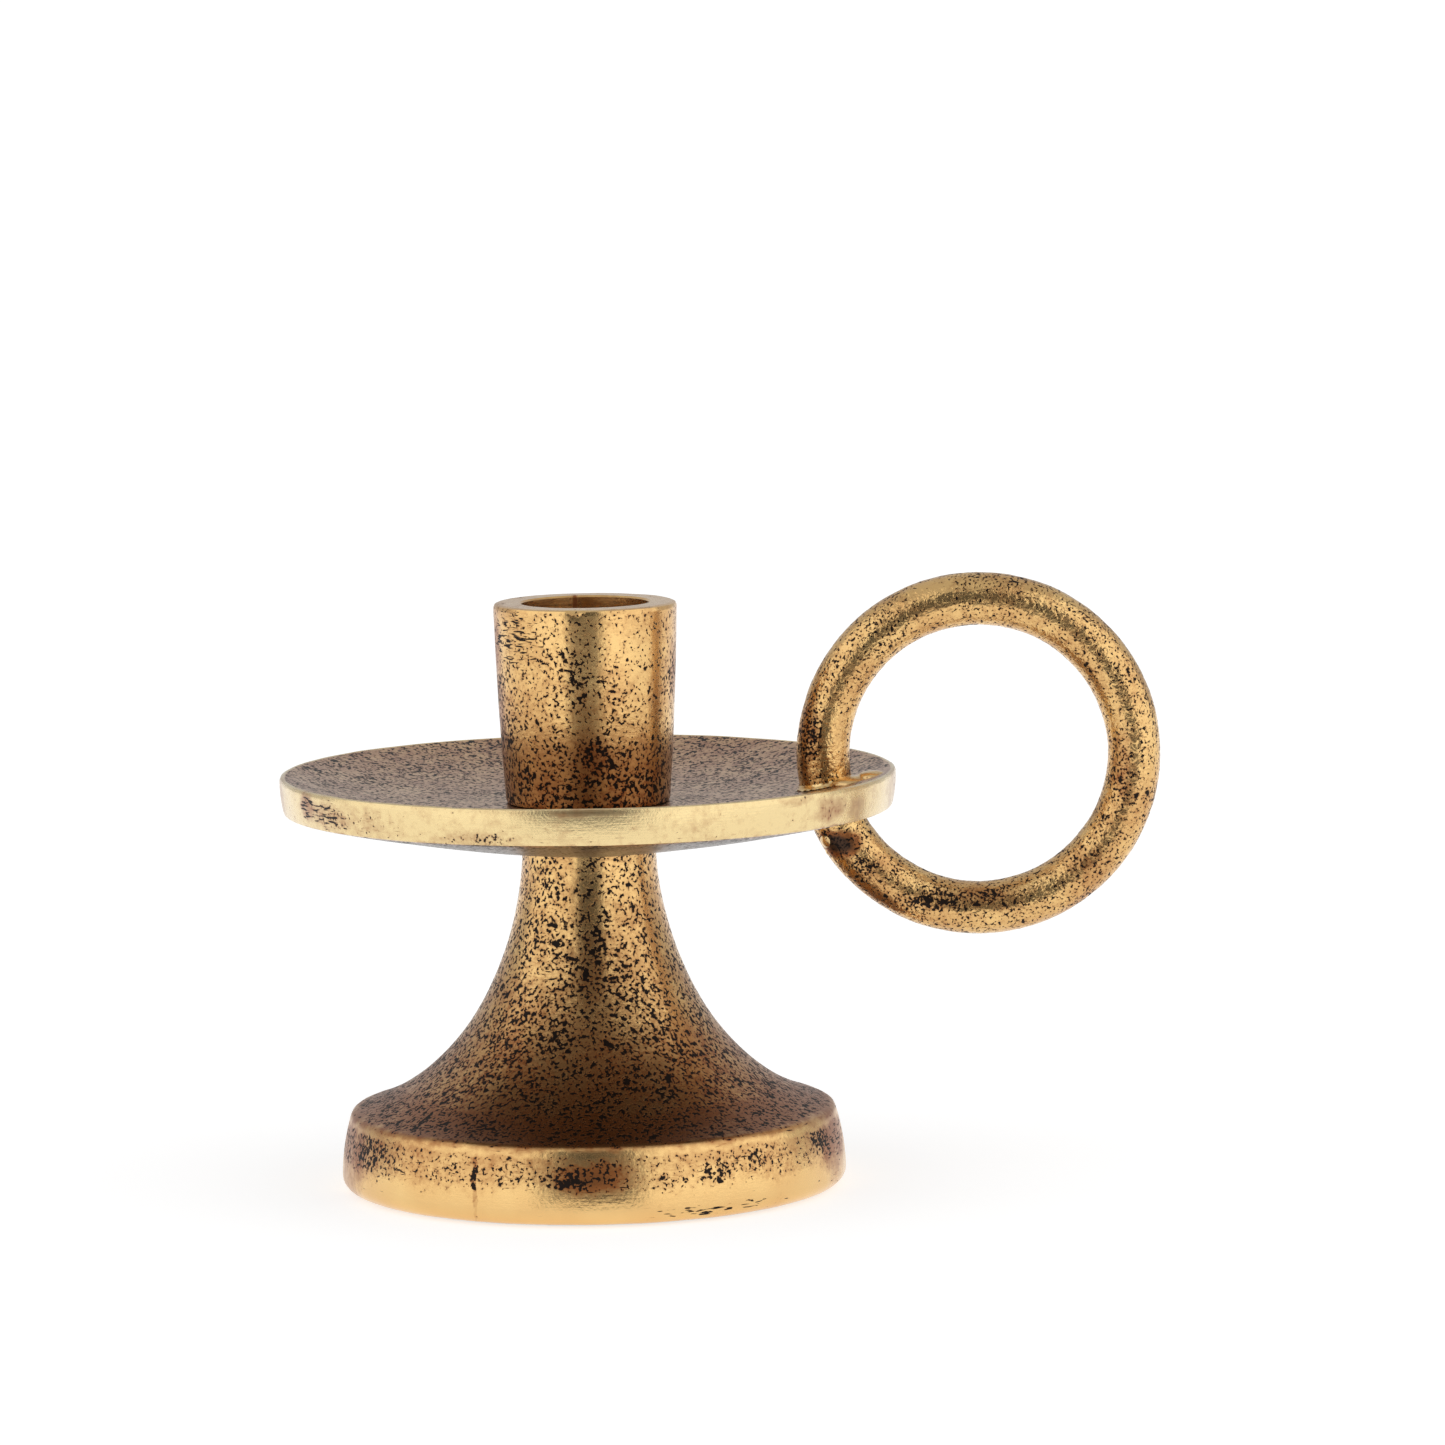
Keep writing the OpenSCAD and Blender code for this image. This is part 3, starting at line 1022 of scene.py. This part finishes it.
@dataclass
class CandleCup(Part):
    """Tapered cup with a thick wall and a socket for one candle.

    Args:
        foot_radius: Radius of its foot.
        bore_radius: Radius of the socket.
        bore_depth: Depth of the socket.
        tapped_radius: Radius of the stud's hole in its base.
        tapped_depth: Depth of that hole.
        edge: Rounding of the outer edges.
        lip: Rounding of the socket's edge.
        wall_bow: How far the wall swells.
        step: Spacing of points along the outline.
        turns: Segments around the axis.
        relief: Unevenness of the casting.
        nick: A knock on the lip.
    """

    node = "candle_cup"
    foot_radius: float = 14.5 * MM
    bore_radius: float = 11.3 * MM
    bore_depth: float = 25 * MM
    tapped_radius: float = 3.0 * MM
    tapped_depth: float = 8.4 * MM
    edge: float = 0.7 * MM
    lip: float = 0.3 * MM
    wall_bow: float = 0.21 * MM
    step: float = 0.5 * MM
    turns: int = 208
    relief: tuple[Relief, ...] = (Relief(7 * MM, 0.12 * MM), Relief(1.8 * MM, 0.05 * MM))
    nick: Dent = Dent((-1.6 * MM, -15.9 * MM, 103.6 * MM), (0, 0.35 * MM, -0.35 * MM), 1.4 * MM)

    def outline(self) -> list[Vector]:
        """Draws the half-section, from the tapped hole out, up, over the lip and down inside.

        Returns:
            The outline's points.
        """
        low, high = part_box("candle_cup")
        top, base, r = high.z, low.z, high.x
        floor = top - self.bore_depth
        tap = base + self.tapped_depth
        pen = OutlinePen((0, tap), self.step)
        pen.line((self.tapped_radius, tap)).line((self.tapped_radius, base))
        pen.line((self.foot_radius - self.edge, base))
        pen.corner((self.foot_radius, base), (self.foot_radius, base + self.edge))
        pen.bow((r, top - self.edge), self.wall_bow)
        pen.corner((r, top), (r - self.edge, top)).line((self.bore_radius + self.lip, top))
        pen.corner((self.bore_radius, top), (self.bore_radius, top - self.lip))
        pen.line((self.bore_radius, floor)).line((0, floor))
        return pen.points

    def build(self) -> bpy.types.Object:
        """Turns the cup, presses its casting relief into it and nicks its lip.

        Returns:
            The cup.
        """
        cup = spin_outline(self.outline(), self.turns)
        for relief in self.relief:
            relief.press_into(cup)
        self.nick.strike(cup)
        return finish_piece(cup, "candle_cup_body")

    def finish(self) -> AntiqueBrass:
        """Gives the cup's patina: sparse pits above, coppery and dense towards the tray, with
        painted shade down its front and along both edges.

        Returns:
            The finish.
        """
        return AntiqueBrass("cast_brass_cup", cover=0.66, film=0.08, pit=0.42, sand=0.03, grain=0.7,
                            brush=0.008, patches=(
            band(68.4, 17, pits=0.22, film=0.5),
            # Painted shade: more pits and film down the front of the cup
            Patch((1, -15, 78.5), (5, 5, 6), pits=0.32, film=0.45, soft=1.0),
            Patch((-1, -15.5, 92), (3, 5, 14), pits=0.15, film=0.15),
            Patch((9, -12, 97), (9, 12, 11), pits=-0.18),
            band(104.4, 1.6, pits=-0.5, film=-0.1),
            Patch((-12, -9, 98.5), (10, 9, 8), pits=-0.2, hatch=0.85),
            # Painted shade on the left and right edges as film and pits; file strokes at the upper
            # left
            Patch((-16, 0, 98), (4, 9, 9), film=0.3, hatch=0.5),
            Patch((-16.5, -3, 88), (3.6, 8, 22), film=0.55),
            Patch((16.5, -2, 90), (2.6, 7, 20), film=0.35),
            Patch((-15, -4, 84), (6, 9, 11), pits=0.2, film=0.15),
            Patch((15, -4, 93), (2.5, 7, 6), pits=0.1, film=0.15),
            # Socket: bored clean, with a dark seam at its back
            Patch((0, 0, 92), (11.8, 11.8, ALL_ROUND), pits=-0.9, film=0.02, soft=0.03,
                  ragged=False),
            Patch((-2, 11.1, 98), (0.7, 2, 16), film=1.0, ragged=False),
        ))


# ---------------------------------------------------------------------------- ring and braze


@dataclass
class RingHandle(Part):
    """Round bar bent into an upright ring through the tray.

    Args:
        around: Segments along the bar.
        across: Segments around the bar.
        relief: Unevenness of its skin.
    """

    node = "ring_handle"
    around: int = 672
    across: int = 104
    relief: tuple[Relief, ...] = (Relief(9 * MM, 0.22 * MM), Relief(0.9 * MM, 0.16 * MM))

    def bend(self) -> bpy.types.Object:
        """Adds the plain ring at its size and place.

        Returns:
            The ring's mesh object.
        """
        low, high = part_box("ring_handle")
        bar = (high.y - low.y) / 2
        clear_selection()
        bpy.ops.mesh.primitive_torus_add(
            major_segments=self.around, minor_segments=self.across,
            major_radius=(high.x - low.x) / 2 - bar, minor_radius=bar,
            location=(low + high) / 2, rotation=(math.pi / 2, 0, 0))
        bpy.ops.object.transform_apply(location=True, rotation=True, scale=True)
        return bpy.context.object

    def build(self) -> bpy.types.Object:
        """Bends the ring and shapes its skin, sandy and a little lumpy.

        Returns:
            The ring.
        """
        ring = self.bend()
        for relief in self.relief:
            relief.press_into(ring)
        return finish_piece(ring, "ring_handle_bar")

    def finish(self) -> AntiqueBrass:
        """Gives the ring's patina: sandy gold, dark by the tray and low on the inside.

        Returns:
            The finish.
        """
        return AntiqueBrass("cast_brass_ring", cover=0.66, film=0.14, pit=0.32, sand=0.2, grain=0.9,
                            gloss=0.2, patches=(
            Patch((61, -4, 105), (6, 5, 3.5), pits=-0.5, film=-0.2),
            Patch((39, -3, 80), (3.5, 6, 9), pits=0.3, film=0.4),
            Patch((44.4, -4, 60.6), (5, 6, 3.4), film=1.9, pits=0.2),
            Patch((43.6, -2, 80), (2.6, 7, 9), pits=-0.4),
            Patch((48.6, -4, 56.2), (4, 5, 3), film=0.3, pits=0.2),
            Patch((94.5, -3, 73), (3.2, 5, 9), film=0.45, pits=0.2),
            Patch((88, -3, 57), (6, 5, 6), pits=0.2, film=0.25),
            Patch((64, -4, 50.5), (16, 5, 2.6), pits=0.4, film=0.35),
            Patch((78, 0, 44), (16, 6, 2.2), pits=-0.2, film=-0.1),
        ))


@dataclass(frozen=True)
class Drop:
    """A drop of braze that ran out before it set, as a flattened ball.

    Args:
        at: Its middle.
        half: Its half sizes along X, Y and Z.
        turn_deg: Turn of its long side about Z.
    """

    at: tuple[float, float, float]
    half: tuple[float, float, float]
    turn_deg: float = 0.0

    def pour(self) -> bpy.types.Object:
        """Adds the drop.

        Returns:
            The drop's mesh object.
        """
        clear_selection()
        bpy.ops.mesh.primitive_ico_sphere_add(subdivisions=4, radius=1.0, location=self.at,
                                              rotation=(0, 0, math.radians(self.turn_deg)),
                                              scale=self.half)
        bpy.ops.object.transform_apply(location=True, rotation=True, scale=True)
        return bpy.context.object


@dataclass
class Braze:
    """Braze metal around the bar where it passes through the tray.

    Args:
        cell: Size of the cells in which the metal is melted into one.
        relief: Its uneven skin.
        ridge: Drops on top of the tray.
        spur: Drops under the tray.
    """

    frame: dict
    cell: float = 0.22 * MM
    relief: Relief = Relief(2.5 * MM, 0.25 * MM)
    ridge: tuple[Drop, ...] = (
        Drop((47.2 * MM, -5.6 * MM, 71.5 * MM), (4.4 * MM, 3.0 * MM, 1.5 * MM), 14),
        Drop((50.2 * MM, -5.2 * MM, 72.5 * MM), (2.7 * MM, 3.0 * MM, 1.3 * MM), 14))
    spur: tuple[Drop, ...] = (
        Drop((42.6 * MM, -0.5 * MM, 59.6 * MM), (1.0 * MM, 1.6 * MM, 1.6 * MM)),
        Drop((42.6 * MM, -1.2 * MM, 61.6 * MM), (1.9 * MM, 2.6 * MM, 2.2 * MM)))

    def collar(self, node: str, name: str, drops: Sequence[Drop]) -> bpy.types.Object:
        """Melts a CAD fillet and some drops into one uneven collar.

        Args:
            node: The fillet's node.
            name: The collar's name.
            drops: Drops that run out from it.

        Returns:
            The collar.
        """
        piece = bpy.data.objects.new(name, self.frame["nodes"][node].data.copy())
        bpy.context.scene.collection.objects.link(piece)
        take_up(piece)
        bpy.ops.object.mode_set(mode="EDIT")
        bpy.ops.mesh.select_all(action="SELECT")
        bpy.ops.mesh.remove_doubles(threshold=1e-6)
        bpy.ops.object.mode_set(mode="OBJECT")
        for drop in drops:
            ball = drop.pour()
            take_up(piece)
            ball.select_set(True)
            bpy.ops.object.join()
        modify(piece, "REMESH", mode="VOXEL", voxel_size=self.cell)
        modify(piece, "SMOOTH", factor=0.6, iterations=5)
        self.relief.press_into(piece)
        return finish_piece(piece, name)

    def make(self) -> None:
        """Builds, dresses and places both collars."""
        finish = AntiqueBrass("brass_braze", cover=0.15, film=0.14, polish=0.4, sand=0.02,
                              haze=0.8).build()
        for node, name, drops in (("upper_braze_fillet", "braze_above_tray", self.ridge),
                                  ("lower_braze_fillet", "braze_below_tray", self.spur)):
            collar = self.collar(node, name, drops)
            dress(collar, finish)
            place(collar, node)


# ---------------------------------------------------------------------------- inside the foot


@dataclass
class TieStud(Part):
    """Threaded M6 stud that holds cup, tray and foot together.

    Args:
        pitch: Pitch of the thread.
        thread_depth: Depth from crest to root.
        thread_flat: Width of the flats at crest and root.
        spare_turns: Turns wound past each end before it is cut.
        segments: Segments in one turn.
    """

    node = "tie_stud"
    slot = Slot.STEEL
    pitch: float = 1.0 * MM
    thread_depth: float = 0.55 * MM
    thread_flat: float = 0.06 * MM
    spare_turns: int = 2
    segments: int = 32

    def build(self) -> bpy.types.Object:
        """Winds one turn of thread up the stud, past both ends, and cuts the ends flat.

        Returns:
            The stud.
        """
        low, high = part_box("tie_stud")
        crest = high.x
        root = crest - self.thread_depth
        start = low.z - self.spare_turns * self.pitch
        clear_selection()
        bpy.ops.mesh.primitive_plane_add(size=MM, location=(root, 0, start))
        bpy.ops.object.mode_set(mode="EDIT")
        bpy.ops.mesh.select_all(action="SELECT")
        bpy.ops.mesh.merge(type="CENTER")
        flat, rise, slope = self.thread_flat, crest - root, self.pitch / 2 - self.thread_flat
        for dx, dz in ((0, flat), (rise, slope), (0, flat), (-rise, slope)):
            bpy.ops.mesh.extrude_region_move(TRANSFORM_OT_translate={"value": (dx, 0, dz)})
        bpy.ops.object.mode_set(mode="OBJECT")
        bpy.ops.object.transform_apply(location=True, rotation=False, scale=False)
        stud = bpy.context.object
        turns = math.ceil((high.z - low.z) / self.pitch) + 2 * self.spare_turns
        modify(stud, "SCREW", axis="Z", steps=self.segments, render_steps=self.segments,
               iterations=turns, screw_offset=self.pitch, use_merge_vertices=True,
               merge_threshold=1e-6)
        take_up(stud)
        bpy.ops.object.mode_set(mode="EDIT")
        for height, outward in ((low.z, -1), (high.z, 1)):
            bpy.ops.mesh.select_all(action="SELECT")
            bpy.ops.mesh.bisect(plane_co=(0, 0, height), plane_no=(0, 0, outward),
                                use_fill=True, clear_outer=True)
        bpy.ops.mesh.select_all(action="SELECT")
        bpy.ops.mesh.normals_make_consistent(inside=False)
        bpy.ops.object.mode_set(mode="OBJECT")
        return finish_piece(stud, "threaded_tie_stud", sharp_deg=30)

    def finish(self) -> ZincSteel:
        """Gives the stud's plated finish."""
        return ZincSteel()


@dataclass
class Fasteners:
    """The nut and its two washers, whose CAD shape is already right.

    Args:
        nodes: Their nodes.
    """

    frame: dict
    nodes: tuple[str, ...] = ("plain_washer", "lock_washer", "hex_nut")

    def make(self) -> None:
        """Gives the CAD nodes their plated finish."""
        finish = ZincSteel("zinc_plated_fasteners").build()
        for node in self.nodes:
            piece = self.frame["nodes"][node]
            for slot in piece.material_slots:
                slot.material = finish
            LOG.info("%s: CAD node in zinc plate", node)


@dataclass
class FeltRing(Part):
    """Felt glued into the groove under the foot.

    Args:
        inner_radius: Radius of its hole.
        edge: Rounding of its edges.
        fuzz: How far the fibres stand out.
        lump: Width of the lumps in its skin.
        step: Spacing of points along the outline.
        turns: Segments around the axis.
    """

    node = "felt_ring"
    slot = Slot.FELT
    inner_radius: float = 33 * MM
    edge: float = 0.35 * MM
    fuzz: float = 0.08 * MM
    lump: float = 0.9 * MM
    step: float = 0.7 * MM
    turns: int = 256

    def build(self) -> bpy.types.Object:
        """Turns the ring with soft edges and roughens it.

        Returns:
            The felt.
        """
        low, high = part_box("felt_ring")
        outer = high.x - self.fuzz / 2
        inner = self.inner_radius + self.fuzz / 2
        base, top = low.z + self.fuzz / 2, high.z - self.fuzz / 2
        pen = OutlinePen((inner + self.edge, base), self.step)
        pen.line((outer - self.edge, base)).corner((outer, base), (outer, base + self.edge))
        pen.line((outer, top - self.edge)).corner((outer, top), (outer - self.edge, top))
        pen.line((inner + self.edge, top)).corner((inner, top), (inner, top - self.edge))
        pen.line((inner, base + self.edge)).corner((inner, base), (inner + self.edge, base))
        felt = spin_outline(pen.points, self.turns)
        Relief(self.lump, self.fuzz).press_into(felt)
        return finish_piece(felt, "felt_pad_ring")

    def finish(self) -> WoolFelt:
        """Gives the felt's finish."""
        return WoolFelt()


# ---------------------------------------------------------------------------- studio


@dataclass(frozen=True)
class SoftBox:
    """A lit part of the studio's tent, by direction from the object, in degrees.

    Args:
        azimuth: Its left and right edges; 0 is in front, positive towards +X.
        height: Its lower and upper edges above the horizon.
        light: Brightness that it adds, or takes away if negative.
        soft: Width of its soft edge.
    """

    azimuth: tuple[float, float]
    height: tuple[float, float]
    light: float
    soft: float = 8.0


@dataclass
class Studio:
    """White tent, pale floor and the camera.

    Args:
        tent: Brightness of the tent itself.
        boxes: Its lit and its dim parts.
        floor_colour: Colour of the floor.
        floor_glow: Light that the floor gives off.
        floor_x: The floor's left and right edges.
        floor_y: The floor's near and far edges.
        eye: Where the camera stands.
        pitch_deg: How far it looks down.
        roll_deg: How far it leans.
        lens_mm: Its focal length.
        sensor_mm: Width of its sensor.
    """

    tent: float = 0.58
    boxes: tuple[SoftBox, ...] = (
        SoftBox((-106, -22), (-30, 54), 0.56),
        SoftBox((-106, -22), (-40, -2), 0.1),
        SoftBox((22, 104), (-30, 54), 0.62),
        SoftBox((22, 104), (-40, -2), 0.12),
        SoftBox((-20, 20), (-60, -4), -0.32, 16.0),
        SoftBox((-20, 20), (-4, 40), -0.5, 12.0),
    )
    floor_colour: str = "#c4c4c4"
    floor_glow: float = 0.66
    floor_x: tuple[float, float] = (-20.0, 20.0)
    floor_y: tuple[float, float] = (-0.3, 30.0)
    eye: tuple[float, float, float] = (0.0239, -1.2432, 0.2263)
    pitch_deg: float = 6.62
    roll_deg: float = 0.85
    lens_mm: float = 176.76
    sensor_mm: float = 36.0

    def window(self, tree: bpy.types.NodeTree, angle: bpy.types.NodeSocket,
               edges: tuple[float, float], soft: float) -> bpy.types.NodeSocket:
        """Gives 1 between two edges and 0 outside, with soft edges.

        Args:
            tree: The world's tree.
            angle: Angle in radians.
            edges: Lower and upper edge in degrees.
            soft: Width of the soft edge in degrees.

        Returns:
            The window's socket.
        """
        sides = []
        for edge, sign in zip(edges, (1, -1)):
            start, stop = edge - sign * soft / 2, edge + sign * soft / 2
            sides.append(add_node(tree, "MapRange", {
                "interpolation_type": "SMOOTHSTEP", "From Min": math.radians(start),
                "From Max": math.radians(stop)}, {"Value": angle}).outputs["Result"])
        return add_node(tree, "Math", {"operation": "MULTIPLY"},
                        {0: sides[0], 1: sides[1]}).outputs[0]

    def light(self) -> None:
        """Lights the tent: even white, brighter at both sides, dimmer behind the camera."""
        world = bpy.data.worlds.new("studio_tent")
        bpy.context.scene.world = world
        world.use_nodes = True
        tree = world.node_tree
        tree.nodes.clear()
        direction = add_node(tree, "TexCoord").outputs["Generated"]
        axes = add_node(tree, "SeparateXYZ", None, {0: direction}).outputs
        front = add_node(tree, "Math", {"operation": "MULTIPLY", 1: -1.0}, {0: axes["Y"]})
        azimuth = add_node(tree, "Math", {"operation": "ARCTAN2"},
                           {0: axes["X"], 1: front.outputs[0]}).outputs[0]
        height = add_node(tree, "Math", {"operation": "ARCSINE"}, {0: axes["Z"]}).outputs[0]
        level: bpy.types.NodeSocket | None = None
        for box in self.boxes:
            lit = add_node(tree, "Math", {"operation": "MULTIPLY"}, {
                0: self.window(tree, azimuth, box.azimuth, box.soft),
                1: self.window(tree, height, box.height, box.soft)}).outputs[0]
            settings = {"operation": "MULTIPLY_ADD", 1: box.light}
            links = {0: lit}
            if level is None:
                settings[2] = self.tent
            else:
                links[2] = level
            level = add_node(tree, "Math", settings, links).outputs[0]
        # Behind the object, the tent is burnt out to plain white
        seen = add_node(tree, "LightPath").outputs["Is Camera Ray"]
        strength = add_node(tree, "Mix", {3: 1.0}, {0: seen, 2: level}).outputs[0]
        background = add_node(tree, "Background", {"Color": (1.0, 1.0, 1.0, 1.0)},
                              {"Strength": strength})
        add_node(tree, "OutputWorld", None, {"Surface": background.outputs[0]})

    def lay_floor(self) -> None:
        """Lays the pale floor under the object, a sheet of opal acrylic lit from below."""
        clear_selection()
        middle = (sum(self.floor_x) / 2, sum(self.floor_y) / 2, 0)
        bpy.ops.mesh.primitive_plane_add(size=1, location=middle)
        floor = bpy.context.object
        floor.scale = (self.floor_x[1] - self.floor_x[0], self.floor_y[1] - self.floor_y[0], 1)
        bpy.ops.object.transform_apply(location=True, rotation=False, scale=True)
        floor.name = "studio_floor"
        material, tree = new_material("opal_acrylic_table")
        surface = add_node(tree, "BsdfPrincipled", {
            "Base Color": linear(self.floor_colour), "Roughness": 1.0, "Specular IOR Level": 0.0,
            "Emission Color": (1.0, 1.0, 1.0, 1.0), "Emission Strength": self.floor_glow})
        add_node(tree, "OutputMaterial", None, {"Surface": surface.outputs["BSDF"]})
        dress(floor, material)

    def set_camera(self) -> None:
        """Stands the camera a little above the object, looking down on it."""
        data = bpy.data.cameras.new("camera")
        data.lens = self.lens_mm
        data.sensor_width = self.sensor_mm
        data.clip_end = 100.0
        camera = bpy.data.objects.new("camera", data)
        bpy.context.scene.collection.objects.link(camera)
        camera.location = self.eye
        pitch = math.radians(self.pitch_deg)
        look = Vector((0, math.cos(pitch), -math.sin(pitch)))
        camera.rotation_mode = "QUATERNION"
        camera.rotation_quaternion = look.to_track_quat("-Z", "Y") @ Quaternion(
            (0, 0, 1), math.radians(-self.roll_deg))
        bpy.context.scene.camera = camera

    def make(self) -> None:
        """Sets the stage."""
        self.light()
        self.lay_floor()
        self.set_camera()
        view = bpy.context.scene.view_settings
        view.view_transform = "Standard"


def main() -> None:
    """Builds the studio and the candlestick."""
    logging.basicConfig(level=logging.INFO, format="%(message)s")
    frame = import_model()
    Studio().make()
    for part in (BellFoot(), DripTray(), CandleCup(), RingHandle(), Braze(frame), TieStud(),
                 Fasteners(frame), FeltRing()):
        part.make()


if __name__ == "__main__":
    main()
